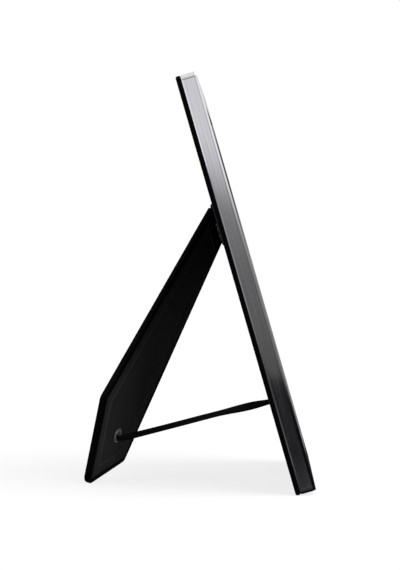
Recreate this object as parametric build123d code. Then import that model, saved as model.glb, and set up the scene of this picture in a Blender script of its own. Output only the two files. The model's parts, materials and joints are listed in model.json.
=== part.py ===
from build123d import *
import math
import os

# Photo frame with a two-way easel back, standing upright on a table.
# Sizes are in millimetres and degrees. The frame is drawn upright first, with its back on the plane y = 0,
# its face towards -y and its bottom edge at z = 0, and is then leaned back onto its strut.

# Picture and glass
print_width = 127.0
print_height = 178.0
print_thickness = 0.3
glass_thickness = 2.0
pane_clearance = 0.75        # around glass, print and card

# Metal rails
face_width = 16.8            # width of a rail's front face
lip = 3.0                    # front face over the edge of the glass
face_thickness = 1.5
rail_depth = 7.5             # front face to back board
outer_wall = 2.4
pocket_rib = 1.25            # wall between the glass and the corner keys
corner_round = 2.0           # outer corners of the frame, seen from the front
front_round = 0.85           # outer edge of the face
rear_bevel_width = 0.5       # flat bevel along the sides, next to the back board
rear_bevel_inset = 0.18
opening_bevel = 0.8          # inner edge of the face
groove_width = 0.35          # shadow line around the sides, just behind the round edge
groove_depth = 0.25
seam = 0.25                  # bevel where a side rail meets the top and bottom rails

# Corner keys and the screws of the back ring
key_clearance = 0.15
key_reach = 32.0             # length of each arm
screw_radius = 1.25
screw_head_radius = 2.4
screw_length = 6.5
screw_from_corner = 24.0     # screw along a key's arm, from the frame's corner
screw_recess_width = 0.6
screw_recess_depth = 0.8
thread_clearance = 0.05

# Back board
board_thickness = 2.5
board_round = 0.9            # covered outer edges
door_clearance = 0.3
door_bevel = 0.4

# Turn buttons
button_width = 6.5
button_reach = 11.0          # pivot to the centre of the round tip
button_thickness = 0.55
button_pin_radius = 1.1
button_head_radius = 2.5
button_head_height = 0.4
button_pin_depth = 2.0       # in the back ring
pivot_clearance = 0.06
button_lift = 0.05           # free play under and over a button

# Hinge of the strut
frame_lean = 16.0            # lean of the frame from upright
hinge_tilt = 33.0            # hinge line from level
hinge_from_side = 36.6       # middle of the hinge from the frame's right edge
hinge_drop = 68.4            # middle of the hinge from the frame's top edge
hinge_shift = 2.75           # hinge and top edge of the strut, beside the strut's centre line
hinge_length = 37.0
knuckle_count = 5
knuckle_radius = 1.3
knuckle_gap = 0.2            # between knuckles, along the pin
knuckle_lift = 0.3           # knuckles clear of the board
hinge_pin_radius = 0.7
pin_clearance = 0.05
leaf_thickness = 0.6
leaf_reach = 8.5             # pin to the far edge of a leaf
leg_leaf_width = 24.0
leaf_corner = 2.0
rivet_radius = 1.0
rivet_head_radius = 2.0
rivet_head_height = 0.5
rivet_pitch = 16.0
rivet_from_pin = 5.2
rivet_stop = 0.3             # door rivets stop this far from the door's front
pin_head_radius = 1.1
pin_head_length = 0.5
pin_end_play = 0.1
head_rounding = 0.8          # share of a head's height that is rounded

# Strut
leg_thickness = 3.2
leg_top_rise = 0.6           # strut's top edge above the pin
leg_top_width = 31.1
rebate_depth = 1.65          # cut in the strut's front, which clears the knuckles
rebate_drop = 1.6            # and reaches this far below the pin
leg_shoulder_width = 58.0
near_point = 36.0            # length of the point, on the side of the frame's left rail
far_point = 29.0             # and on the other side
leg_tip_round = 4.5
leg_shoulder_round = 4.0
leg_top_round = 1.2
leg_edge_round = 0.8
fold_margin = 1.4            # folded tip above the frame's bottom edge
border_inset = 7.5           # pressed line around the strut's faces
border_width = 1.6
border_depth = 0.4

# Ribbon and its eyelets
eyelet_radius = 3.8
eyelet_bore = 2.1
eyelet_flange = 0.5
eyelet_wall = 0.4
eyelet_clearance = 0.05
eyelet_from_tip = 32.6       # strut's eyelet above the tip
eyelet_step = 19.8           # the door's eyelet is this much nearer to the hinge
eyelet_offset = 5.5          # both eyelets beside the strut's centre line
ribbon_width = 3.6
ribbon_thickness = 0.4
ribbon_drop = 0.9            # ribbon below the middle of the strut's eyelet

overcut = 1.0                # cutting shapes reach this far past the faces that they cut

# Outside of the frame, and its planes from front to back
frame_width = print_width + 2 * (face_width - lip)
frame_height = print_height + 2 * (face_width - lip)
seat = -board_thickness
front = seat - rail_depth
glass_front = front + face_thickness
glass_back = glass_front + glass_thickness
print_back = glass_back + print_thickness
pocket_width = print_width + 2 * pane_clearance
pocket_height = print_height + 2 * pane_clearance
ring_width = (frame_width - pocket_width) / 2


# A plate parallel to the face, centred on the frame
def plate(width, height, y0, y1, corner=0.0):
    shape = RectangleRounded(width, height, corner) if corner else Rectangle(width, height)
    return Pos(0, y1, frame_height / 2) * Rot(90, 0, 0) * extrude(shape, y1 - y0)


# A plate with any outline, given as points across and up
def cut_plate(points, y0, y1):
    outline = make_face(Polyline(*points, close=True))
    return Pos(0, y1, 0) * Rot(90, 0, 0) * extrude(outline, y1 - y0)


# A round bar square to the back, from y0 to y1
def peg(x, z, radius, y0, y1):
    return Pos(x, (y0 + y1) / 2, z) * Rot(90, 0, 0) * Cylinder(radius, y1 - y0)


def mirrored_x(shape):
    return mirror(shape, about=Plane.YZ)


def mirrored_z(shape):
    return mirror(shape, about=Plane.XY.offset(frame_height / 2))


# Metal surround: face, outer wall, glass pocket and channel for the keys, before it is cut at the corners
def surround():
    body = plate(frame_width, frame_height, front, seat, corner_round)
    body = fillet(body.faces().sort_by(Axis.Y)[0].edges(), front_round)
    rear = body.faces().sort_by(Axis.Y)[-1]
    body = chamfer(rear.edges(), rear_bevel_inset, rear_bevel_width, reference=rear)
    groove_front = front + front_round
    groove_rear = groove_front + groove_width
    groove = plate(frame_width + overcut, frame_height + overcut, groove_front, groove_rear)
    core_width = frame_width - 2 * groove_depth
    core_height = frame_height - 2 * groove_depth
    groove -= plate(core_width, core_height, groove_front, groove_rear, corner_round)
    body -= groove
    opening_width = print_width - 2 * lip
    opening_height = print_height - 2 * lip
    body -= plate(opening_width, opening_height, front - overcut, seat + overcut)
    body = chamfer(body.faces().sort_by(Axis.Y)[0].inner_wires()[0].edges(), opening_bevel)
    body -= plate(pocket_width, pocket_height, glass_front, seat + overcut)
    walls = 2 * outer_wall
    channel = plate(frame_width - walls, frame_height - walls, glass_front, seat + overcut)
    ribs = 2 * pocket_rib
    channel -= plate(pocket_width + ribs, pocket_height + ribs, glass_front, seat + overcut)
    return body - channel


# The top rail runs the full width. The side rails stand between the top and bottom rails,
# and the faces meet on mitred joints.
def make_rails():
    body = surround()
    half = frame_width / 2
    top = frame_height
    top_plan = [
        (-half, top),
        (half, top),
        (half, top - outer_wall),
        (half - outer_wall, top - outer_wall),
        (half - face_width, top - face_width),
        (face_width - half, top - face_width),
        (outer_wall - half, top - outer_wall),
        (-half, top - outer_wall),
    ]
    side_plan = [
        (-half, outer_wall),
        (outer_wall - half, outer_wall),
        (face_width - half, face_width),
        (face_width - half, top - face_width),
        (outer_wall - half, top - outer_wall),
        (-half, top - outer_wall),
    ]
    top_rail = body & cut_plate(top_plan, front - overcut, seat + overcut)
    left_rail = body & cut_plate(side_plan, front - overcut, seat + overcut)
    for end in (outer_wall, top - outer_wall):
        notch = Pos(-half, (front + seat) / 2, end) * Rot(0, 45, 0)
        left_rail -= notch * Box(seam * math.sqrt(2), rail_depth + overcut, seam * math.sqrt(2))
    return {
        "left_rail": left_rail,
        "right_rail": mirrored_x(left_rail),
        "top_rail": top_rail,
        "bottom_rail": mirrored_z(top_rail),
    }


# Screw places on the upper right corner: one on each arm of its key
key_width = face_width - lip - pane_clearance - pocket_rib - outer_wall - 2 * key_clearance
arm_line = outer_wall + key_clearance + key_width / 2
corner_screws = [
    (frame_width / 2 - arm_line, frame_height - screw_from_corner),
    (frame_width / 2 - screw_from_corner, frame_height - arm_line),
]


def four_corners(places):
    return [(sx * x, z if up else frame_height - z) for sx in (1, -1) for up in (1, 0) for x, z in places]


# Countersunk screw with a cross recess, its head level with the back
def screw(x, z):
    head_depth = screw_head_radius - screw_radius
    shank = peg(x, z, screw_radius, -screw_length, 0)
    head = Pos(x, -head_depth / 2, z) * Rot(90, 0, 0) * Cone(screw_head_radius, screw_radius, head_depth)
    body = shank + head
    recess_length = 2 * screw_radius
    for length, width in ((recess_length, screw_recess_width), (screw_recess_width, recess_length)):
        body -= Pos(x, 0, z) * Box(length, 2 * screw_recess_depth, width)
    return body


def make_keys():
    x = frame_width / 2 - outer_wall - key_clearance
    z = frame_height - outer_wall - key_clearance
    plan = [
        (x, z),
        (x - key_reach, z),
        (x - key_reach, z - key_width),
        (x - key_width, z - key_width),
        (x - key_width, z - key_reach),
        (x, z - key_reach),
    ]
    key = cut_plate(plan, glass_front + key_clearance, seat)
    for screw_x, screw_z in corner_screws:
        key -= peg(screw_x, screw_z, screw_radius + thread_clearance, -screw_length - overcut, 0)
    return {
        "top_right_key": key,
        "top_left_key": mirrored_x(key),
        "bottom_right_key": mirrored_z(key),
        "bottom_left_key": mirrored_x(mirrored_z(key)),
    }


# Height of each turn button's pivot, and the way it points: 1 up, -1 down
button_places = {
    "top_turn_button": (frame_height - ring_width / 2, -1),
    "bottom_turn_button": (ring_width / 2, 1),
}


def make_back_ring():
    ring = plate(frame_width, frame_height, seat, 0, corner_round)
    rims = ring.faces().sort_by(Axis.Y)
    ring = fillet(rims[0].edges() + rims[-1].edges(), board_round)
    ring -= plate(pocket_width, pocket_height, seat - overcut, overcut)
    hole = screw_radius + thread_clearance
    sink = screw_head_radius + thread_clearance
    sink_depth = sink - hole
    for x, z in four_corners(corner_screws):
        ring -= peg(x, z, hole, seat - overcut, overcut)
        ring -= Pos(x, -sink_depth / 2, z) * Rot(90, 0, 0) * Cone(sink, hole, sink_depth)
    pin_hole = button_pin_radius + thread_clearance
    for z, _ in button_places.values():
        ring -= peg(0, z, pin_hole, -button_pin_depth - thread_clearance, overcut)
    return ring


# Flat button that turns on a rivet in the back ring and laps over the door
def make_buttons():
    y0 = button_lift
    y1 = button_lift + button_thickness
    buttons = {}
    for name, (z, up) in button_places.items():
        bar = extrude(Rot(0, 0, 90) * SlotCenterToCenter(button_reach, button_width), button_thickness)
        bar = Pos(0, y1, z + up * button_reach / 2) * Rot(90, 0, 0) * bar
        buttons[name] = bar - peg(0, z, button_pin_radius + pivot_clearance, y0 - overcut, y1 + overcut)
    return buttons


def make_button_rivets():
    under_head = 2 * button_lift + button_thickness
    top = under_head + button_head_height
    rivets = []
    for z, _ in button_places.values():
        pin = peg(0, z, button_pin_radius, -button_pin_depth, under_head)
        rivets.append(pin + button_head(0, z, button_head_radius, under_head, top, 1))
    return rivets


# The strut is drawn with the hinge pin along x through the origin, hanging down, its front on
# the plane y = 0. hinge_seat places it folded against the door, and leg_seat opens it.
pin_height = knuckle_lift + knuckle_radius
hinge_x = frame_width / 2 - hinge_from_side
hinge_z = frame_height - hinge_drop
tilt = math.radians(hinge_tilt)
lean = math.radians(frame_lean)
hinge_seat = Pos(hinge_x, pin_height, hinge_z) * Rot(0, hinge_tilt, 0)


# Centre of the round tip and the tip's sharp corner, for a sharp corner at the given reach from the pin
def tip_centre(reach):
    half = leg_shoulder_width / 2
    near_angle = math.atan2(half, near_point)
    far_angle = math.atan2(half, far_point)
    half_angle = (near_angle + far_angle) / 2
    slant = (far_angle - near_angle) / 2
    back = leg_tip_round / math.sin(half_angle)
    return back * math.sin(slant), reach - back * math.cos(slant)


# The strut is as long as it can be with its folded tip fold_margin above the frame's bottom edge
offset_x, offset_reach = tip_centre(0.0)
room = hinge_z - fold_margin - leg_tip_round
leg_reach = (room - offset_x * math.sin(tilt)) / math.cos(tilt) - offset_reach
tip_x, tip_reach = tip_centre(leg_reach)

# The frame stands on the round rear edge of the back ring
table = board_round * (math.sin(lean) + math.cos(lean) - 1)


# Height of the strut's lowest point above the table, opened by the given angle
def tip_height(angle):
    out = pin_height + leg_thickness / 2 * math.cos(angle) + tip_reach * math.sin(angle)
    drop = tip_reach * math.cos(angle) - leg_thickness / 2 * math.sin(angle)
    up = hinge_z - tip_x * math.sin(tilt) - drop * math.cos(tilt)
    normal = math.sin(angle) * math.cos(tilt) * math.cos(lean) - math.cos(angle) * math.sin(lean)
    disc = (leg_tip_round - leg_edge_round) * math.sqrt(1 - normal ** 2)
    rim = (leg_thickness / 2 - leg_edge_round) * abs(normal)
    return up * math.cos(lean) - out * math.sin(lean) - disc - rim - leg_edge_round - table


# The strut opens until its tip meets the table
low = math.atan(math.tan(lean) / math.cos(tilt))
high = math.radians(85)
for _ in range(60):
    middle = (low + high) / 2
    if tip_height(middle) < 0:
        low = middle
    else:
        high = middle
leg_open = math.degrees(low)
leg_seat = hinge_seat * Rot(leg_open, 0, 0)

leg_eyelet_reach = leg_reach - eyelet_from_tip
door_eyelet_reach = leg_eyelet_reach - eyelet_step


# Outline of the strut, with its top edge at the given height above the pin
def leg_outline(top_edge):
    top = leg_top_width / 2
    shoulder = leg_shoulder_width / 2
    points = [
        (hinge_shift - top, top_edge),
        (hinge_shift + top, top_edge),
        (shoulder, far_point - leg_reach),
        (0, -leg_reach),
        (-shoulder, near_point - leg_reach),
    ]
    face = make_face(Polyline(*points, close=True))
    across = face.vertices().sort_by(Axis.X)
    face = fillet([across[0], across[-1]], leg_shoulder_round)
    face = fillet(face.vertices().sort_by(Axis.Y)[0], leg_tip_round)
    return fillet(face.vertices().sort_by(Axis.Y)[-2:], leg_top_round)


# A flat shape in the strut's plane, made solid from y0 to y1
def leg_slab(face, y0, y1):
    return Pos(0, y1, 0) * Rot(90, 0, 0) * extrude(face, y1 - y0)


rivet_places = [(hinge_shift + sign * rivet_pitch / 2, rivet_from_pin) for sign in (-1, 1)]
rivet_hole = rivet_radius + thread_clearance
eyelet_hole = eyelet_bore + eyelet_wall + eyelet_clearance
door_face = -pin_height      # back of the door, from the pin
door_front = door_face - board_thickness


# Pressed line with sloping sides, sunk into the plane y = 0 from above
def border_line():
    outline = leg_outline(-rebate_drop)
    slope = math.degrees(math.atan2(border_width / 2, border_depth))
    outer = extrude(offset(outline, -border_inset), border_depth, taper=slope)
    inner = extrude(offset(outline, -border_inset - border_width), border_depth, taper=-slope)
    return Rot(90, 0, 0) * (outer - inner)


def make_leg():
    leg = leg_slab(leg_outline(leg_top_rise), 0, leg_thickness)
    rims = leg.faces().sort_by(Axis.Y)
    leg = fillet(rims[0].edges() + rims[-1].edges(), leg_edge_round)
    top_width = leg_top_width + 2 * overcut
    rebate = Pos(hinge_shift, rebate_depth / 2, 0) * Box(top_width, rebate_depth, 2 * rebate_drop)
    leg -= rebate
    line = border_line()
    leg -= mirror(line, about=Plane.XZ)
    leg -= Pos(0, leg_thickness, 0) * line
    for x, reach in rivet_places:
        leg -= peg(x, -reach, rivet_hole, -overcut, leg_thickness + overcut)
    return leg - peg(eyelet_offset, -leg_eyelet_reach, eyelet_hole, -overcut, leg_thickness + overcut)


# Middle of the back, which carries the hinge and the ribbon. Its rivet holes stop short of the card.
def make_door():
    door = plate(pocket_width - 2 * door_clearance, pocket_height - 2 * door_clearance, seat, 0)
    door = chamfer(door.faces().sort_by(Axis.Y)[-1].edges(), door_bevel)
    for x, reach in rivet_places:
        door -= hinge_seat * peg(x, reach, rivet_hole, door_front + rivet_stop, door_face + overcut)
    ribbon_hole = peg(eyelet_offset, -door_eyelet_reach, eyelet_hole, door_front - overcut, overcut)
    return door - hinge_seat * ribbon_hole


# Bars along the hinge pin at every second knuckle place, counted from the place named first
def along_pin(first, radius, length):
    pitch = (hinge_length + knuckle_gap) / knuckle_count
    start = hinge_shift + (pitch - hinge_length - knuckle_gap) / 2
    bars = [
        Pos(start + place * pitch, 0, 0) * Rot(0, 90, 0) * Cylinder(radius, length)
        for place in range(first, knuckle_count, 2)
    ]
    return Part() + bars


# Hinge leaf whose plate lies from y0 to y0 + leaf_thickness. Direction is 1 for a plate that runs up
# from the pin and -1 for one that runs down.
def make_leaf(width, first, y0, direction):
    y1 = y0 + leaf_thickness
    sheet = Pos(hinge_shift, direction * leaf_reach / 2) * Rectangle(width, leaf_reach)
    far_corners = sorted(sheet.vertices(), key=lambda corner: direction * corner.Y)[-2:]
    leaf = leg_slab(fillet(far_corners, leaf_corner), y0, y1)
    knuckle_length = (hinge_length + knuckle_gap) / knuckle_count - knuckle_gap
    leaf -= along_pin(1 - first, knuckle_radius + knuckle_lift, knuckle_length + 2 * knuckle_gap)
    leaf += along_pin(first, knuckle_radius, knuckle_length)
    bore = Cylinder(hinge_pin_radius + pin_clearance, hinge_length + overcut)
    leaf -= Pos(hinge_shift, 0, 0) * Rot(0, 90, 0) * bore
    for x, reach in rivet_places:
        leaf -= peg(x, direction * reach, rivet_hole, y0 - overcut, y1 + overcut)
    return leaf


def make_pin():
    pin = Cylinder(hinge_pin_radius, hinge_length + 2 * pin_end_play)
    for end in (-1, 1):
        pin += Pos(0, 0, end * (hinge_length / 2 + pin_end_play + pin_head_length / 2)) * Cylinder(
            pin_head_radius, pin_head_length
        )
    return Pos(hinge_shift, 0, 0) * Rot(0, 90, 0) * pin


# Disc from y0 to y1 with a rounded edge on the outer side, which is 1 towards +y and -1 towards -y
def button_head(x, z, radius, y0, y1, outward):
    disc = peg(x, z, radius, y0, y1)
    rim = disc.edges().sort_by(Axis.Y)[-1 if outward > 0 else 0]
    return fillet(rim, head_rounding * (y1 - y0))


# Hinge rivets: through leaf and strut with a head on each side, and into the door from behind
def make_leg_rivets():
    rivets = []
    for x, reach in rivet_places:
        rivet = peg(x, -reach, rivet_radius, -leaf_thickness, leg_thickness)
        for face, outward in ((leg_thickness, 1), (-leaf_thickness, -1)):
            y0, y1 = sorted((face, face + outward * rivet_head_height))
            rivet += button_head(x, -reach, rivet_head_radius, y0, y1, outward)
        rivets.append(rivet)
    return rivets


def make_door_rivets():
    rivets = []
    top = door_face + leaf_thickness
    for x, reach in rivet_places:
        rivet = peg(x, reach, rivet_radius, door_front + rivet_stop, top)
        rivets.append(rivet + button_head(x, reach, rivet_head_radius, top, top + rivet_head_height, 1))
    return rivets


# Eyelet in a board between y0 and y1, with a flange on each side that is listed
def make_eyelet(reach, y0, y1, sides):
    x = eyelet_offset
    z = -reach
    eyelet = peg(x, z, eyelet_bore + eyelet_wall, y0, y1)
    if 1 in sides:
        eyelet += button_head(x, z, eyelet_radius, y1, y1 + eyelet_flange, 1)
    if -1 in sides:
        eyelet += button_head(x, z, eyelet_radius, y0 - eyelet_flange, y0, -1)
    return eyelet - peg(x, z, eyelet_bore, y0 - eyelet_flange - overcut, y1 + eyelet_flange + overcut)


# Ribbon pulled straight between the two eyelets, its flat side across the strut
def make_ribbon():
    angle = math.radians(leg_open)
    start_y, start_z = door_face, -door_eyelet_reach
    end_reach = leg_eyelet_reach + ribbon_drop
    end_y, end_z = end_reach * math.sin(angle), -end_reach * math.cos(angle)
    length = math.hypot(end_y - start_y, end_z - start_z)
    slope = math.degrees(math.atan2(end_z - start_z, end_y - start_y))
    strip = Box(ribbon_width, length, ribbon_thickness)
    middle = Pos(eyelet_offset, (start_y + end_y) / 2, (start_z + end_z) / 2)
    return length, middle * Rot(slope, 0, 0) * strip


ribbon_length, ribbon = make_ribbon()

# Every piece in the upright frame
pieces = {}
pieces.update(make_rails())
pieces.update(make_keys())
pieces["glass_pane"] = plate(print_width, print_height, glass_front, glass_back)
pieces["photo_print"] = plate(print_width, print_height, glass_back, print_back)
pieces["filler_card"] = plate(print_width, print_height, print_back, seat)
pieces["back_ring"] = make_back_ring()
pieces["ring_screws"] = [screw(x, z) for x, z in four_corners(corner_screws)]
pieces["easel_door"] = make_door()
pieces.update(make_buttons())
pieces["turn_button_rivets"] = make_button_rivets()
pieces["door_hinge_leaf"] = hinge_seat * make_leaf(hinge_length, 0, door_face, 1)
pieces["hinge_pin"] = hinge_seat * make_pin()
pieces["door_hinge_rivets"] = [hinge_seat * rivet for rivet in make_door_rivets()]
pieces["door_eyelet"] = hinge_seat * make_eyelet(door_eyelet_reach, door_front, door_face, [1])
pieces["leg_hinge_leaf"] = leg_seat * make_leaf(leg_leaf_width, 1, -leaf_thickness, -1)
pieces["leg_hinge_rivets"] = [leg_seat * rivet for rivet in make_leg_rivets()]
pieces["easel_leg"] = leg_seat * make_leg()
pieces["leg_eyelet"] = leg_seat * make_eyelet(leg_eyelet_reach, 0, leg_thickness, [-1, 1])
pieces["stay_ribbon"] = hinge_seat * ribbon

# Lean the frame back and stand it on the table, with the origin under the middle of its outside
lean_turn = Rot(-frame_lean, 0, 0)
front_edge = (lean_turn * pieces["bottom_rail"]).bounding_box().min.Y
tip_edge = (lean_turn * pieces["easel_leg"]).bounding_box().max.Y
stand = Pos(0, -(front_edge + tip_edge) / 2, -table) * lean_turn

os.makedirs("parts", exist_ok=True)
for name, shape in pieces.items():
    if isinstance(shape, list):
        export_step(Compound(children=[stand * solid for solid in shape]), f"parts/{name}.step")
    else:
        export_step(stand * shape, f"parts/{name}.step")


def describe(label, location):
    place = location.position
    print(label, "at", [round(value, 4) for value in place])


hinge_place = stand * hinge_seat
hinge_axis = Vector(-math.cos(tilt), math.sin(tilt) * math.sin(lean), math.sin(tilt) * math.cos(lean))
describe("hinge", hinge_place)
print("fold axis", [round(value, 6) for value in hinge_axis])
print("strut opens by", round(leg_open, 4), "reach", round(leg_reach, 3), "ribbon", round(ribbon_length, 2))
for name, (z, _) in button_places.items():
    describe(name, stand * Pos(0, 0, z))
print("back normal", [round(value, 6) for value in (0, math.cos(lean), -math.sin(lean))])
describe("bottom edge", stand * Pos(0, 0, 0))
describe("door eyelet", hinge_place * Pos(eyelet_offset, door_face, -door_eyelet_reach))
describe("strut eyelet", stand * leg_seat * Pos(eyelet_offset, 0, -leg_eyelet_reach))
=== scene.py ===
import json
import math

import bpy
from mathutils import Matrix, Vector


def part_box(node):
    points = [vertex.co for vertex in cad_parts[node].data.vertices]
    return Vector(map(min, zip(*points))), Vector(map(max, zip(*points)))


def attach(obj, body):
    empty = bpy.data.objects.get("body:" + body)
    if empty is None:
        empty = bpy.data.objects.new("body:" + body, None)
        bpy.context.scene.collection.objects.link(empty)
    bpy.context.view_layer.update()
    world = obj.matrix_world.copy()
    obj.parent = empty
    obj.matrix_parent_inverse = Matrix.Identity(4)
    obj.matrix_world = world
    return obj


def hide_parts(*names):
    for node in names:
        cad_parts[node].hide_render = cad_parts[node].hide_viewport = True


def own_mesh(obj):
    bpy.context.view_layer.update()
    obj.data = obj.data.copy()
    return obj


# Photo frame with an easel back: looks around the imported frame, in metres

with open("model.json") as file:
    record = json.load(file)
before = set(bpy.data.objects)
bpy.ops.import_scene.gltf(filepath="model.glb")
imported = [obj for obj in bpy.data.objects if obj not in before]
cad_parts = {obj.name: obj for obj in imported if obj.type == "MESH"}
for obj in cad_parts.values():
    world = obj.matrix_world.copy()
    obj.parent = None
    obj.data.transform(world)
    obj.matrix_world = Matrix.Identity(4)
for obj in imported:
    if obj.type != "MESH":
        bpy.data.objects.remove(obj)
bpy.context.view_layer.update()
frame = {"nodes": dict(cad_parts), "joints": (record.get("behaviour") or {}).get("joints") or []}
nodes = frame["nodes"]
joints = {joint["name"]: joint for joint in frame["joints"]}

# Directions of the leaning frame and of the open strut, read from the joints
backNormal = Vector(joints["top_button_turn"]["axis"])
backDepth = backNormal.dot(Vector(joints["top_button_turn"]["pos_m"]))
lean = math.atan2(-backNormal.z, backNormal.y)
foldAxis = Vector(joints["strut_fold"]["axis"])
hingePlace = Vector(joints["strut_fold"]["pos_m"])
openAngle = math.radians(joints["strut_fold"]["range_deg"][1])
strutNormal = Matrix.Rotation(-openAngle, 3, foldAxis) @ backNormal
strutDown = foldAxis.cross(strutNormal)
if strutDown.z > 0:
    strutDown = -strutDown
print("frame loaded:", len(nodes), "nodes, lean", round(math.degrees(lean), 2))


def middleOf(node):
    low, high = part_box(node)
    return (low + high) / 2


# How far up the leaning frame a point lies, measured along it
def leanedHeight(point):
    return point.y * math.sin(lean) + point.z * math.cos(lean)


# Operators that follow act on this piece alone
def selectOnly(piece):
    bpy.ops.object.select_all(action="DESELECT")
    piece.select_set(True)
    bpy.context.view_layer.objects.active = piece


# Camera: a little above the middle of the frame, almost square to its left side
cameraLook = {
    "place": (-0.9823, -0.03195, 0.1109),
    "lookAt": (-0.0773, -0.00245, 0.09936),
    "roll": -0.11,  # degrees
    "lens": 121.5,
}


def makeCamera():
    place = Vector(cameraLook["place"])
    aim = Vector(cameraLook["lookAt"]) - place
    roll = Matrix.Rotation(math.radians(cameraLook["roll"]), 3, "Z")
    turn = aim.to_track_quat("-Z", "Y").to_matrix() @ roll
    bpy.ops.object.camera_add(location=place, rotation=turn.to_euler())
    camera = bpy.context.object
    camera.data.lens = cameraLook["lens"]
    bpy.context.scene.camera = camera


makeCamera()
print("camera placed")

# Ribbon: one route from the door's eyelet to the lower rim of the strut's eyelet, and on into its bore.
# A station is its share of the straight line, its sag, its twist in degrees and its share of the width.
ribbonLook = {
    "width": 0.0040,
    "thickness": 0.0003,
    "intoDoor": 0.001,
    "rimDrop": 0.0019,
    "rimLift": 0.0023,
    "boreDrop": 0.0012,
    "stations": [
        (0.0, -0.0005, 0, 0.60),
        (0.04, -0.0006, 2, 0.66),
        (0.13, -0.0007, 4, 1.0),
        (0.20, -0.0007, 16, 1.0),
        (0.32, -0.0008, 48, 0.98),
        (0.46, -0.0006, 47, 1.0),
        (0.60, -0.0003, 46, 1.0),
        (0.78, 0.0, 46, 1.0),
        (0.88, 0.0001, 42, 1.0),
        (0.95, 0.0001, 26, 0.85),
        (1.0, 0.0, 12, 0.66),
    ],
    "foldedOff": 0.0018,  # from the middle of the strut's eyelet, when folded
    "foldedShare": 0.015,  # how much of its height over that place is left then
}
stripSteps = {"route": 8, "section": 5}  # points of a curve for each of its control points
strutEyelet = middleOf("leg_eyelet")
doorEyelet = middleOf("door_eyelet")


def ribbonRoute():
    start = doorEyelet - backNormal * ribbonLook["intoDoor"]
    end = strutEyelet + strutDown * ribbonLook["rimDrop"] - strutNormal * ribbonLook["rimLift"]
    route = []
    for share, sag, twist, gather in ribbonLook["stations"]:
        place = start.lerp(end, share)
        place.z -= sag
        route.append((place, math.radians(twist), gather))
    bore = strutEyelet + strutDown * ribbonLook["boreDrop"]
    route.append((bore, *route[-1][1:]))
    return route


def makeRoute(name, route, twistMode):
    data = bpy.data.curves.new(name, "CURVE")
    data.dimensions = "3D"
    data.twist_mode = twistMode
    data.resolution_u = stripSteps["route"]
    spline = data.splines.new("NURBS")
    spline.points.add(len(route) - 1)
    for point, (place, twist, gather) in zip(spline.points, route):
        point.co = (*place, 1.0)
        point.tilt = twist
        point.radius = gather
    spline.order_u = 3
    spline.use_endpoint_u = True
    curve = bpy.data.objects.new(name, data)
    bpy.context.scene.collection.objects.link(curve)
    return curve


def routePoints(curve):
    bpy.context.view_layer.update()
    line = bpy.data.meshes.new_from_object(curve)
    points = [vertex.co.copy() for vertex in line.vertices]
    bpy.data.meshes.remove(line)
    return points


# Flat oval section, as a closed curve across the ribbon
def stripSection(name, thickness, width):
    bpy.ops.curve.primitive_bezier_circle_add(radius=1.0)
    section = bpy.context.object
    section.name = name
    section.scale = (thickness / 2, width / 2, 1.0)
    selectOnly(section)
    bpy.ops.object.transform_apply(location=True, rotation=True, scale=True)
    section.data.resolution_u = stripSteps["section"]
    return section


# A strip of ribbon along a route, with the points of its middle line
def makeStrip(name, look, route, twistMode):
    curve = makeRoute(name + "Route", route, twistMode)
    points = routePoints(curve)
    section = stripSection(name + "Section", look["thickness"], look["width"])
    curve.data.bevel_mode = "OBJECT"
    curve.data.bevel_object = section
    curve.data.use_fill_caps = True
    bpy.context.view_layer.update()
    swept = curve.evaluated_get(bpy.context.evaluated_depsgraph_get())
    strip = bpy.data.objects.new(name, bpy.data.meshes.new_from_object(swept))
    bpy.context.scene.collection.objects.link(strip)
    for helper in (curve, section):
        bpy.data.objects.remove(helper)
    selectOnly(strip)
    bpy.ops.object.shade_smooth()
    return strip, points


ribbon, ribbonLine = makeStrip("ribbon", ribbonLook, ribbonRoute(), "Z_UP")

# Knot that stops the gathered ribbon behind the strut's eyelet: out of the bore, once round itself, and a
# short tail on the strut. Its points go across the strut, down it and out of it from the knot's middle,
# and are counted in loop sizes.
knotLook = {
    "loopSize": 0.0008,
    "thickness": 0.0009,
    "width": 0.0013,
    "standOff": 0.00345,
    "leadIn": [(0.0, 1.5, -4.2), (-0.1, 1.8, -2.6)],
    "loopPoints": 20,
    "loopGap": 0.16,  # radians
    "tail": [(0.6, 4.2, -0.2), (0.9, 6.0, -0.9), (0.8, 8.0, -1.5), (0.6, 9.8, -1.55)],
}


# The loop is an overhand knot, open on its lower side by twice the gap
def knotRoute():
    steps, gap = knotLook["loopPoints"] - 1, knotLook["loopGap"]
    loop = []
    for step in range(steps + 1):
        turn = 3 * math.pi - gap - step / steps * 2 * (math.pi - gap)
        across = math.sin(turn) + 2 * math.sin(2 * turn)
        down = 2 * math.cos(2 * turn) - math.cos(turn)
        loop.append((across, down, -math.sin(3 * turn)))
    middle = strutEyelet + strutNormal * knotLook["standOff"]
    route = []
    for across, down, out in knotLook["leadIn"] + loop + knotLook["tail"]:
        offset = foldAxis * across + strutDown * down + strutNormal * out
        route.append((middle + offset * knotLook["loopSize"], 0.0, 1.0))
    return route


knot = makeStrip("ribbonKnot", knotLook, knotRoute(), "MINIMUM")[0]
print("knot made")


# Shader building: a material with its Principled shader, and nodes with their inputs set or linked
def newMaterial(name):
    material = bpy.data.materials.new(name)
    material.use_nodes = True
    tree = material.node_tree
    return material, tree, tree.nodes["Principled BSDF"]


def setInputs(tree, node, inputs):
    for socket, value in inputs.items():
        if isinstance(value, bpy.types.NodeSocket):
            tree.links.new(value, node.inputs[socket])
        else:
            node.inputs[socket].default_value = value


def put(tree, kind, inputs=None, **settings):
    made = tree.nodes.new(kind)
    for name, value in settings.items():
        setattr(made, name, value)
    setInputs(tree, made, inputs or {})
    return made


def objectPlace(tree):
    return put(tree, "ShaderNodeTexCoord").outputs["Object"]


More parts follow.
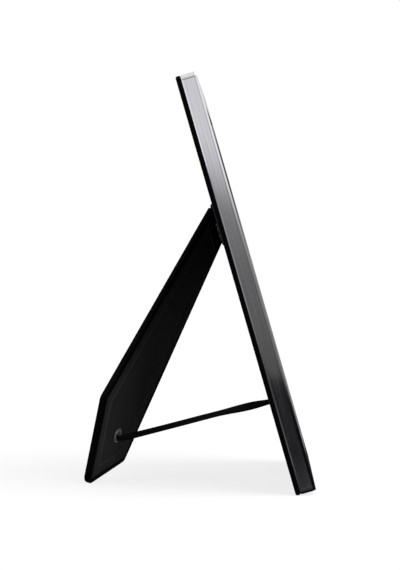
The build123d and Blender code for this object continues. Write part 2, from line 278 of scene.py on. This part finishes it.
def objectNormal(tree):
    return put(tree, "ShaderNodeTexCoord").outputs["Normal"]


# Object coordinates turned with the leaning frame and divided by a grain size, which may differ each way
def leanedPlace(tree, grain=1.0):
    size = (grain, grain, grain) if isinstance(grain, float) else grain
    inputs = {"Vector": objectPlace(tree), "Rotation": (-lean, 0, 0), "Scale": size}
    return put(tree, "ShaderNodeMapping", inputs, vector_type="TEXTURE").outputs["Vector"]


def axesOf(tree, place):
    return put(tree, "ShaderNodeSeparateXYZ", {"Vector": place}).outputs


def noise(tree, place, detail=2.0, roughness=0.5):
    inputs = {"Vector": place, "Scale": 1.0, "Detail": detail, "Roughness": roughness}
    return put(tree, "ShaderNodeTexNoise", inputs).outputs["Fac"]


def ramp(tree, factor, stops):
    made = put(tree, "ShaderNodeValToRGB", {"Fac": factor})
    elements = made.color_ramp.elements
    while len(elements) < len(stops):
        elements.new(0.5)
    for element, (position, colour) in zip(elements, stops):
        element.position = position
        element.color = (*colour, 1.0)
    return made.outputs["Color"]


def mathNode(tree, operation, *values):
    return put(tree, "ShaderNodeMath", dict(enumerate(values)), operation=operation).outputs[0]


def vectorNode(tree, operation, *values):
    made = put(tree, "ShaderNodeVectorMath", dict(enumerate(values)), operation=operation)
    return made.outputs["Vector"]


def dotNode(tree, first, second):
    inputs = {0: first, 1: second}
    return put(tree, "ShaderNodeVectorMath", inputs, operation="DOT_PRODUCT").outputs["Value"]


def scaled(tree, colour, level):
    inputs = {0: colour, "Scale": level}
    return put(tree, "ShaderNodeVectorMath", inputs, operation="SCALE").outputs["Vector"]


def rangeNode(tree, value, low, high, first=0.0, last=1.0):
    inputs = {"Value": value, "From Min": low, "From Max": high, "To Min": first, "To Max": last}
    return put(tree, "ShaderNodeMapRange", inputs).outputs["Result"]


# From the first level, where the share is 0, to the last, where it is 1
def between(tree, share, first, last):
    return rangeNode(tree, share, 0.0, 1.0, first, last)


# Noise lies mostly in the middle half of its range
def spread(tree, value, low, high):
    return rangeNode(tree, value, 0.25, 0.75, low, high)


def colourInput(colour):
    return colour if isinstance(colour, bpy.types.NodeSocket) else (*colour, 1.0)


def mixColour(tree, factor, first, second):
    inputs = {"Factor": factor, "A": colourInput(first), "B": colourInput(second)}
    return put(tree, "ShaderNodeMix", inputs, data_type="RGBA").outputs["Result"]


def bump(tree, height, distance, strength=1.0):
    inputs = {"Height": height, "Distance": distance, "Strength": strength}
    return put(tree, "ShaderNodeBump", inputs).outputs["Normal"]


# Brushed metal: fine lines along the rail bend the reflection across it, and the duller lines blur it.
# A pair says where something sets in and where it is complete, or gives its levels at those two places.
# A facing is how squarely a surface faces some way, and a rise is a height.
brushLook = {
    "tones": [(0.38, (0.70, 0.70, 0.705)), (0.62, (0.84, 0.84, 0.845))],
    "lineWidth": 0.0003,
    "lineLength": 0.035,
    "lineDepth": 0.0000015,
    "streakWidth": 0.0009,
    "streakLength": 0.05,
    "streakShare": 2.5,
    "blurred": (0.56, 0.76),  # lines with these values take the roughness below
    "roughness": (0.055, 0.13),
    "dulled": (0.45, 0.68),  # streaks with these values are less metallic, down to the dullest
    "dullest": 0.985,
    "cutFacing": (0.3, 0.6),
    "cutSmoothFacing": (0.8, 0.98),
    "cutBrush": 0.1,
    "cutRise": (0.0010, 0.0015),
    "cutShade": (0.12, 0.95),
    "lipFacing": (0.2, 0.45),
    "lipRise": (0.11, 0.155),
    "lipGreyAndPaintedShade": [(0.0, (0.19, 0.19, 0.193)), (1.0, (0.012, 0.012, 0.012))],
    "lipRoughness": 0.5,
    "grooveFromBack": 0.008975,
    "grooveWidth": 0.00045,
    "grooveRise": (0.04, 0.07),
    "groovePaintedShade": (0.3, 0.75),
    "edgeFromBack": 0.0086,
    "edgeFacing": (0.15, 0.45),
    "edgeRise": (0.03, 0.06),
    "edgePaintedShade": (0.2, 1.0),
}
paneMiddle = middleOf("glass_pane")
frameBottom = min(leanedHeight(vertex.co) for vertex in nodes["bottom_rail"].data.vertices)


# The saw-cut ends of the rails across the frame are a little duller, with painted shade that darkens them
# along the bottom
def cutShade(tree, sideways):
    fromBottom = mathNode(tree, "SUBTRACT", axesOf(tree, leanedPlace(tree))["Z"], frameBottom)
    bottomPaintedShade = rangeNode(tree, fromBottom, *brushLook["cutRise"], *brushLook["cutShade"])
    return between(tree, rangeNode(tree, sideways, *brushLook["cutFacing"]), 1.0, bottomPaintedShade)


# Painted shade in the line behind the rounded front edge, deepest near the table, and near the table on
# that edge where it faces sideways
def edgeShade(tree, up, sideways):
    depth = axesOf(tree, leanedPlace(tree))["Y"]
    line = backDepth - brushLook["grooveFromBack"]
    inGroove = mathNode(tree, "COMPARE", depth, line, brushLook["grooveWidth"] / 2)
    groovePaintedShade = rangeNode(tree, up, *brushLook["grooveRise"], *brushLook["groovePaintedShade"])
    atEdge = mathNode(tree, "LESS_THAN", depth, backDepth - brushLook["edgeFromBack"])
    onEdge = mathNode(tree, "MULTIPLY", atEdge, rangeNode(tree, sideways, *brushLook["edgeFacing"]))
    edgePaintedShade = rangeNode(tree, up, *brushLook["edgeRise"], *brushLook["edgePaintedShade"])
    groove = between(tree, inGroove, 1.0, groovePaintedShade)
    return mathNode(tree, "MULTIPLY", groove, between(tree, onEdge, 1.0, edgePaintedShade))


# 1 on the lip's inner edge, which faces the picture
def lipShare(tree):
    inward = vectorNode(tree, "NORMALIZE", vectorNode(tree, "SUBTRACT", paneMiddle, objectPlace(tree)))
    return rangeNode(tree, dotNode(tree, inward, objectNormal(tree)), *brushLook["lipFacing"])


def brushedMetal(name, alongX):
    material, tree, shader = newMaterial(name)

    def grain(width, length):
        return leanedPlace(tree, (length, width, width) if alongX else (width, width, length))

    lines = noise(tree, grain(brushLook["lineWidth"], brushLook["lineLength"]), detail=1.5)
    streaks = noise(tree, grain(brushLook["streakWidth"], brushLook["streakLength"]))
    height = mathNode(tree, "MULTIPLY_ADD", streaks, brushLook["streakShare"], lines)
    up = axesOf(tree, objectPlace(tree))["Z"]
    sideways = mathNode(tree, "ABSOLUTE", axesOf(tree, objectNormal(tree))["X"])
    # Painted shade on the front edge and, on the rails across the frame, on the cut ends
    shade = edgeShade(tree, up, sideways)
    brushed = 1.0
    if alongX:
        shade = mathNode(tree, "MULTIPLY", shade, cutShade(tree, sideways))
        brushed = rangeNode(tree, sideways, *brushLook["cutSmoothFacing"], 1.0, brushLook["cutBrush"])
    marks = mathNode(tree, "MULTIPLY", mathNode(tree, "ADD", lines, streaks), 0.5)
    tint = scaled(tree, ramp(tree, marks, brushLook["tones"]), shade)
    # The lip's edge is a matt grey cut, with painted shade that darkens it to black towards the top
    lip = lipShare(tree)
    lipGreyAndShade = ramp(tree, rangeNode(tree, up, *brushLook["lipRise"]), brushLook["lipGreyAndPaintedShade"])
    metal = rangeNode(tree, streaks, *brushLook["dulled"], 1.0, brushLook["dullest"])
    rough = rangeNode(tree, lines, *brushLook["blurred"], *brushLook["roughness"])
    setInputs(tree, shader, {
        "Base Color": mixColour(tree, lip, tint, lipGreyAndShade),
        "Metallic": mathNode(tree, "SUBTRACT", metal, lip),
        "Roughness": between(tree, lip, rough, brushLook["lipRoughness"]),
        "Normal": bump(tree, height, brushLook["lineDepth"], brushed),
    })
    return material


# Fibreboard covered in black embossed paper, with black edges, and a painted highlight that makes the
# pressed line a little paler
coverLook = {
    "tones": [(0.35, (0.024, 0.024, 0.025)), (0.75, (0.038, 0.038, 0.039))],
    "pressed": (0.044, 0.044, 0.045),
    "pressedFacing": (0.99, 0.95),  # from square to the board to where the colour is all there
    "edge": (0.0016, 0.0016, 0.0017),
    "edgeFacing": (0.86, 0.7),
    "roughness": (0.38, 0.52),
    "shine": 0.02,
    "cloud": 0.03,
    "grain": 0.00045,
    "grainDepth": 0.00002,
    "rim": 0.0029,
    "rimFade": 0.0004,
    "sideFacing": 0.02,
    "leastSide": 0.00002,  # area of the smallest straight side
    # Painted shade and light down the strut: where it changes, and its levels
    "paintedShadeDown": (0.05, 0.12),
    "fade": (0.66, 1.25),
}


# How far a point lies from the hinge pin along a direction
def fromHinge(tree, direction):
    return dotNode(tree, vectorNode(tree, "SUBTRACT", objectPlace(tree), hingePlace), direction)


# The strut's straight sides, as the directions out of them and how far out they lie
def strutSides():
    mesh = nodes["easel_leg"].data
    areas = {}
    for face in mesh.polygons:
        if abs(face.normal.dot(strutNormal)) < coverLook["sideFacing"]:
            way = (round(face.normal.dot(foldAxis), 2), round(face.normal.dot(strutDown), 2))
            areas[way] = areas.get(way, 0.0) + face.area
    sides = []
    for (across, down), area in areas.items():
        if area > coverLook["leastSide"]:
            way = (foldAxis * across + strutDown * down).normalized()
            sides.append((way, max(way.dot(vertex.co) for vertex in mesh.vertices)))
    return sides


# 1 on the turned-in rim of the strut's cover, which is as black as its edges
def strutRim(tree):
    place = objectPlace(tree)
    nearest = -1.0
    for way, reach in strutSides():
        inside = mathNode(tree, "SUBTRACT", dotNode(tree, place, way), reach)
        nearest = mathNode(tree, "MAXIMUM", nearest, inside)
    return rangeNode(tree, nearest, -coverLook["rim"] - coverLook["rimFade"], -coverLook["rim"])


# Painted shade and light: the cover is darker near the hinge, where the frame shades the strut, and
# lighter towards its foot
def strutPaintedShade(tree, colour):
    level = rangeNode(tree, fromHinge(tree, strutDown), *coverLook["paintedShadeDown"], *coverLook["fade"])
    return scaled(tree, colour, level)


def coveredBoard(name, faceNormal):
    material, tree, shader = newMaterial(name)
    inputs = {"Vector": leanedPlace(tree, coverLook["grain"]), "Scale": 1.0}
    pebble = put(tree, "ShaderNodeTexVoronoi", inputs, feature="SMOOTH_F1").outputs["Distance"]
    cloud = noise(tree, leanedPlace(tree, coverLook["cloud"]), detail=5.0, roughness=0.6)
    # How squarely the surface faces out of the board: 1 on its faces, less in the line and 0 on its edges
    square = mathNode(tree, "ABSOLUTE", dotNode(tree, objectNormal(tree), faceNormal))
    inLine = rangeNode(tree, square, *coverLook["pressedFacing"])
    onEdge = rangeNode(tree, square, *coverLook["edgeFacing"])
    # Painted highlight where the surface tilts a little from the board's face, in the pressed line and
    # where its edges start to round
    colour = mixColour(tree, inLine, ramp(tree, cloud, coverLook["tones"]), coverLook["pressed"])
    colour = mixColour(tree, onEdge, colour, coverLook["edge"])
    if name == "coveredStrut":
        colour = mixColour(tree, strutRim(tree), strutPaintedShade(tree, colour), coverLook["edge"])
    setInputs(tree, shader, {
        "Base Color": colour,
        "Roughness": spread(tree, cloud, *coverLook["roughness"]),
        "Specular IOR Level": coverLook["shine"],
        "Normal": bump(tree, pebble, coverLook["grainDepth"]),
    })
    return material


# Black stove paint on the hinge, with a painted highlight along the strut's leaf where it bends to the
# pin
paintLook = {
    "tones": [(0.3, (0.003, 0.003, 0.0032)), (0.8, (0.008, 0.008, 0.0085))],
    "roughness": (0.26, 0.38),
    "shine": 0.15,
    "peel": 0.0006,
    "peelDepth": 0.000008,
    "highlightColour": (0.7, 0.7, 0.71),
    "highlightDown": (0.0022, 0.0029),  # down the strut from the pin, and along the pin
    "highlightDownFade": 0.0003,
    "highlightAlong": (-0.0145, 0.0030),
    "highlightAlongFade": 0.0018,
}


# 1 inside a band across a direction from the hinge pin, fading out at both sides
def hingeBand(tree, direction, low, high, fade):
    way = fromHinge(tree, direction)
    rising = rangeNode(tree, way, low - fade / 2, low + fade / 2)
    falling = rangeNode(tree, way, high - fade / 2, high + fade / 2, 1.0, 0.0)
    return mathNode(tree, "MULTIPLY", rising, falling)


def blackPaint(name, highlighted):
    material, tree, shader = newMaterial(name)
    peel = noise(tree, leanedPlace(tree, paintLook["peel"]))
    colour = ramp(tree, peel, paintLook["tones"])
    # Painted highlight: a pale line along the strut's leaf beside the pin
    if highlighted:
        down = hingeBand(tree, strutDown, *paintLook["highlightDown"], paintLook["highlightDownFade"])
        along = hingeBand(tree, foldAxis, *paintLook["highlightAlong"], paintLook["highlightAlongFade"])
        colour = mixColour(tree, mathNode(tree, "MULTIPLY", down, along), colour, paintLook["highlightColour"])
    setInputs(tree, shader, {
        "Base Color": colour,
        "Roughness": spread(tree, peel, *paintLook["roughness"]),
        "Specular IOR Level": paintLook["shine"],
        "Normal": bump(tree, peel, paintLook["peelDepth"]),
    })
    return material


# Plain metals with fine random scratches
metalLooks = {
    "platedSteel": {
        "tones": [(0.3, (0.5, 0.5, 0.5)), (0.7, (0.66, 0.66, 0.65))],
        "roughness": (0.2, 0.36),
        "metal": 1.0,
    },
    "gunmetal": {
        "tones": [(0.3, (0.26, 0.26, 0.265)), (0.7, (0.36, 0.36, 0.365))],
        "roughness": (0.26, 0.36),
        "metal": 0.6,
    },
}
scratchLook = {"size": (0.00012, 0.0015, 0.0004), "depth": 0.000004}


def smallMetal(name):
    look = metalLooks[name]
    material, tree, shader = newMaterial(name)
    scratches = noise(tree, leanedPlace(tree, scratchLook["size"]), detail=4.0, roughness=0.65)
    setInputs(tree, shader, {
        "Base Color": ramp(tree, scratches, look["tones"]),
        "Metallic": look["metal"],
        "Roughness": spread(tree, scratches, *look["roughness"]),
        "Normal": bump(tree, scratches, scratchLook["depth"]),
    })
    return material


# Woven satin ribbon: threads that are longer along the ribbon than across it
satinLook = {
    "tones": [(0.15, (0.0032, 0.0032, 0.0034)), (0.75, (0.001, 0.001, 0.001))],
    "thread": (0.00016, 0.00035, 0.00035),
    "uneven": 0.35,
    "roughness": (0.42, 0.6),
    "shine": 0.08,
    "depth": 0.00004,
}


def satinRibbon():
    material, tree, shader = newMaterial("satinRibbon")
    place = leanedPlace(tree, satinLook["thread"])
    inputs = {"Vector": place, "Scale": 1.0, "Randomness": satinLook["uneven"]}
    weave = put(tree, "ShaderNodeTexVoronoi", inputs).outputs["Distance"]
    setInputs(tree, shader, {
        "Base Color": ramp(tree, weave, satinLook["tones"]),
        "Roughness": spread(tree, weave, *satinLook["roughness"]),
        "Specular IOR Level": satinLook["shine"],
        "Normal": bump(tree, weave, satinLook["depth"]),
    })
    return material


# Clear pane with the faintest wiping marks
glassLook = {
    "tint": (0.985, 1.0, 0.993),
    "smear": (0.05, 0.008, 0.05),
    "roughness": (0.0, 0.02),
    "bending": 1.5,
}


def clearGlass():
    material, tree, shader = newMaterial("clearGlass")
    smear = noise(tree, leanedPlace(tree, glassLook["smear"]), detail=3.0)
    setInputs(tree, shader, {
        "Base Color": (*glassLook["tint"], 1.0),
        "Roughness": spread(tree, smear, *glassLook["roughness"]),
        "IOR": glassLook["bending"],
        "Transmission Weight": 1.0,
    })
    return material


# Print: a plain landscape of three rows of hills under a pale sky, with heights up from the bottom rail
printLook = {
    "skyTones": [(0.0, (0.86, 0.80, 0.70)), (1.0, (0.30, 0.42, 0.55))],
    "skyRise": (0.085, 0.19),
    "hills": [
        {"height": 0.108, "swing": 0.030, "width": 0.060, "seed": 3.1, "colour": (0.36, 0.43, 0.50)},
        {"height": 0.080, "swing": 0.034, "width": 0.048, "seed": 7.4, "colour": (0.17, 0.25, 0.28)},
        {"height": 0.046, "swing": 0.026, "width": 0.075, "seed": 1.7, "colour": (0.06, 0.10, 0.09)},
    ],
    "ridgeDetail": 4.0,
    "edge": 0.0007,
    "grain": 0.0004,
    "grainDepth": 0.000004,
    "roughness": (0.34, 0.44),
}


# How far a point lies below the ridge of a hill
def belowRidge(tree, hill, across, height):
    along = mathNode(tree, "ADD", mathNode(tree, "DIVIDE", across, hill["width"]), hill["seed"])
    inputs = {"W": along, "Scale": 1.0, "Detail": printLook["ridgeDetail"]}
    ridge = put(tree, "ShaderNodeTexNoise", inputs, noise_dimensions="1D").outputs["Fac"]
    line = mathNode(tree, "MULTIPLY_ADD", ridge, hill["swing"], hill["height"] - hill["swing"] / 2)
    return mathNode(tree, "SUBTRACT", line, height)


def photoPaper():
    material, tree, shader = newMaterial("photoPaper")
    axes = axesOf(tree, leanedPlace(tree))
    height = mathNode(tree, "SUBTRACT", axes["Z"], leanedHeight(middleOf("bottom_rail")))
    picture = ramp(tree, rangeNode(tree, height, *printLook["skyRise"]), printLook["skyTones"])
    for hill in printLook["hills"]:
        cover = rangeNode(tree, belowRidge(tree, hill, axes["X"], height), 0.0, printLook["edge"])
        picture = mixColour(tree, cover, picture, hill["colour"])
    grain = noise(tree, leanedPlace(tree, printLook["grain"]), detail=3.0)
    setInputs(tree, shader, {
        "Base Color": picture,
        "Roughness": spread(tree, grain, *printLook["roughness"]),
        "Normal": bump(tree, grain, printLook["grainDepth"]),
    })
    return material


# Grey board behind the print, with short fibres
cardLook = {
    "tones": [(0.3, (0.48, 0.44, 0.38)), (0.7, (0.62, 0.58, 0.50))],
    "fibre": (0.004, 0.0008, 0.0008),
    "fibreDepth": 0.00003,
    "roughness": (0.8, 0.95),
}


def greyCard():
    material, tree, shader = newMaterial("greyCard")
    fibres = noise(tree, leanedPlace(tree, cardLook["fibre"]), detail=5.0, roughness=0.7)
    setInputs(tree, shader, {
        "Base Color": ramp(tree, fibres, cardLook["tones"]),
        "Roughness": spread(tree, fibres, *cardLook["roughness"]),
        "Normal": bump(tree, fibres, cardLook["fibreDepth"]),
    })
    return material


# Moulded corner keys
keyLook = {
    "tones": [(0.3, (0.05, 0.05, 0.053)), (0.7, (0.09, 0.09, 0.095))],
    "grain": 0.0003,
    "grainDepth": 0.00001,
    "roughness": (0.45, 0.6),
}


def keyPlastic():
    material, tree, shader = newMaterial("keyPlastic")
    grain = noise(tree, leanedPlace(tree, keyLook["grain"]))
    setInputs(tree, shader, {
        "Base Color": ramp(tree, grain, keyLook["tones"]),
        "Roughness": spread(tree, grain, *keyLook["roughness"]),
        "Normal": bump(tree, grain, keyLook["grainDepth"]),
    })
    return material


finishes = {
    "sideBrush": brushedMetal("sideBrush", False),
    "crossBrush": brushedMetal("crossBrush", True),
    "coveredBack": coveredBoard("coveredBack", backNormal),
    "coveredStrut": coveredBoard("coveredStrut", strutNormal),
    "blackPaint": blackPaint("blackPaint", False),
    "highlightedPaint": blackPaint("highlightedPaint", True),
    "platedSteel": smallMetal("platedSteel"),
    "gunmetal": smallMetal("gunmetal"),
    "satinRibbon": satinRibbon(),
    "clearGlass": clearGlass(),
    "photoPaper": photoPaper(),
    "greyCard": greyCard(),
    "keyPlastic": keyPlastic(),
}
nodeFinish = {
    "sideBrush": ["left_rail", "right_rail"],
    "crossBrush": ["top_rail", "bottom_rail"],
    "coveredBack": ["back_ring", "easel_door"],
    "coveredStrut": ["easel_leg"],
    "blackPaint": ["door_hinge_leaf", "hinge_pin", "door_hinge_rivets", "leg_hinge_rivets"],
    "highlightedPaint": ["leg_hinge_leaf"],
    "platedSteel": ["ring_screws", "top_turn_button", "bottom_turn_button", "turn_button_rivets"],
    "gunmetal": ["leg_eyelet", "door_eyelet"],
    "satinRibbon": ["stay_ribbon"],
    "clearGlass": ["glass_pane"],
    "photoPaper": ["photo_print"],
    "greyCard": ["filler_card"],
    "keyPlastic": ["top_left_key", "top_right_key", "bottom_left_key", "bottom_right_key"],
}


def dress(piece, finish):
    piece.data.materials.clear()
    piece.data.materials.append(finishes[finish])


for finish, names in nodeFinish.items():
    for name in names:
        dress(nodes[name], finish)
dress(ribbon, "satinRibbon")
dress(knot, "satinRibbon")
print("finishes on", sum(len(names) for names in nodeFinish.values()), "nodes")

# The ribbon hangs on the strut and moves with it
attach(ribbon, "strut")
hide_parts("stay_ribbon")
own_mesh(ribbon)
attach(knot, "strut")

# Studio light: white surroundings and one broad soft lamp, above and in front
lightLook = {
    "ambient": 0.4,
    "lampFrom": (-0.25, -0.55, 0.8),
    "lampStrength": 2.4,
    "lampAngle": 60.0,  # degrees
}


# 1 for a ray that shows a surface, by itself or in metal or glass, and 0 for one that only lights
def seenRay(tree):
    rays = put(tree, "ShaderNodeLightPath").outputs
    direct = mathNode(tree, "MAXIMUM", rays["Is Camera Ray"], rays["Is Glossy Ray"])
    return mathNode(tree, "MAXIMUM", direct, rays["Is Transmission Ray"])


def makeLight():
    world = bpy.data.worlds.new("studio")
    world.use_nodes = True
    bpy.context.scene.world = world
    tree = world.node_tree
    setInputs(tree, tree.nodes["Background"], {
        "Color": (1.0, 1.0, 1.0, 1.0),
        "Strength": between(tree, seenRay(tree), lightLook["ambient"], 1.0),
    })
    aim = -Vector(lightLook["lampFrom"])
    bpy.ops.object.light_add(type="SUN", rotation=aim.to_track_quat("-Z", "Y").to_euler())
    lamp = bpy.context.object
    lamp.data.energy = lightLook["lampStrength"]
    lamp.data.angle = math.radians(lightLook["lampAngle"])


# Pale floor, which glows up to white where it is seen and keeps the shadow
floorLook = {
    "size": 60.0,
    "colour": (0.75, 0.75, 0.75),
    "seenColour": (0.22, 0.22, 0.22),
    "seenGlow": 0.805,
}


def makeFloor():
    bpy.ops.mesh.primitive_plane_add(size=floorLook["size"])
    floor = bpy.context.object
    floor.name = "floor"
    material, tree, shader = newMaterial("paleFloor")
    seen = seenRay(tree)
    setInputs(tree, shader, {
        "Base Color": mixColour(tree, seen, floorLook["colour"], floorLook["seenColour"]),
        "Roughness": 1.0,
        "Specular IOR Level": 0.0,
        "Emission Color": (1.0, 1.0, 1.0, 1.0),
        "Emission Strength": mathNode(tree, "MULTIPLY", seen, floorLook["seenGlow"]),
    })
    floor.data.materials.append(material)


# A glowing card that only reflections show
def makeCard(name, corners, faces, shadeOf):
    mesh = bpy.data.meshes.new(name)
    mesh.from_pydata(corners, [], faces)
    card = bpy.data.objects.new(name, mesh)
    bpy.context.scene.collection.objects.link(card)
    material, tree, shader = newMaterial(name)
    tree.nodes.remove(shader)
    glow = put(tree, "ShaderNodeEmission", {"Color": shadeOf(tree), "Strength": 1.0})
    tree.links.new(glow.outputs[0], tree.nodes["Material Output"].inputs["Surface"])
    mesh.materials.append(material)
    card.visible_camera = False
    card.visible_diffuse = False
    card.visible_transmission = False
    card.visible_volume_scatter = False
    card.visible_shadow = False


# Wall round the frame, from behind its left side over its front to behind its right side. It is graded
# upwards by stops of a height and its grey. Its bright part starts higher in front and on the right than
# on the left, and is brighter in front, up to white.
wallLook = {
    "middle": (-0.077, -0.03),
    "radius": 0.91,
    "turns": (-40, 220),  # degrees
    "turnStep": 5,
    "top": 0.56,
    "stops": [
        (-0.014, 0.016),
        (0.0, 0.095),
        (0.10, 0.145),
        (0.16, 0.245),
        (0.205, 0.64),
        (0.235, 0.74),
    ],
    "brightBlue": 0.08,
    "frontFrom": (-0.15, -0.85),
    "frontRise": 0.24,
    "frontGain": 1.6,
    "rightFrom": (0.0, 0.5),
    "rightRise": 0.06,
}


def wallShade(tree):
    axes = axesOf(tree, objectPlace(tree))
    ahead = rangeNode(tree, axes["Y"], *wallLook["frontFrom"])
    aheadRise = mathNode(tree, "MULTIPLY", ahead, wallLook["frontRise"])
    rightRise = rangeNode(tree, axes["X"], *wallLook["rightFrom"], 0.0, wallLook["rightRise"])
    rise = mathNode(tree, "MAXIMUM", aheadRise, rightRise)
    low, high = wallLook["stops"][0][0], wallLook["stops"][-1][0]
    tones = []
    for at, grey in wallLook["stops"]:
        blue = grey * (1 + wallLook["brightBlue"] * grey)
        tones.append(((at - low) / (high - low), (grey, grey, blue)))
    share = rangeNode(tree, mathNode(tree, "SUBTRACT", axes["Z"], rise), low, high)
    gain = between(tree, ahead, 1.0, wallLook["frontGain"])
    return vectorNode(tree, "MINIMUM", scaled(tree, ramp(tree, share, tones), gain), (1, 1, 1))


def makeWall():
    first, last = wallLook["turns"]
    middleX, middleY = wallLook["middle"]
    corners = []
    for turn in range(first, last + 1, wallLook["turnStep"]):
        angle = math.radians(turn)
        x = middleX - wallLook["radius"] * math.cos(angle)
        y = middleY - wallLook["radius"] * math.sin(angle)
        corners += [(x, y, 0.0), (x, y, wallLook["top"])]
    faces = [(i, i + 1, i + 3, i + 2) for i in range(0, len(corners) - 2, 2)]
    makeCard("wallCard", corners, faces, wallShade)


# Table top, as wide as the wall. Its stops go from front to back, each with its grey: it is dark in a
# strip along the view, and paler on both sides of it. It is also paler close to the frame's sides.
tableLook = {
    "lift": 0.0002,
    "span": (-0.8, 0.8),
    "stops": [
        (-0.30, 0.40),
        (-0.14, 0.016),
        (-0.04, 0.016),
        (-0.01, 0.05),
        (0.13, 0.065),
        (0.28, 0.32),
    ],
    "blue": 1.1,
    "nearFrom": (0.105, 0.28),
    "nearGain": 2.3,
}


def tableShade(tree):
    axes = axesOf(tree, objectPlace(tree))
    low, high = tableLook["span"]
    tones = []
    for at, grey in tableLook["stops"]:
        tones.append(((at - low) / (high - low), (grey, grey, grey * tableLook["blue"])))
    aside = mathNode(tree, "ABSOLUTE", axes["X"])
    gain = rangeNode(tree, aside, *tableLook["nearFrom"], tableLook["nearGain"], 1.0)
    return scaled(tree, ramp(tree, rangeNode(tree, axes["Y"], low, high), tones), gain)


def makeTable():
    middle, reach = wallLook["middle"][0], wallLook["radius"]
    left, right = middle - reach, middle + reach
    low, high = tableLook["span"]
    lift = tableLook["lift"]
    corners = [(left, low, lift), (right, low, lift), (right, high, lift), (left, high, lift)]
    makeCard("tableCard", corners, [(0, 1, 2, 3)], tableShade)


makeLight()
makeFloor()
makeWall()
makeTable()
bpy.context.scene.view_settings.view_transform = "Standard"
print("studio lit")
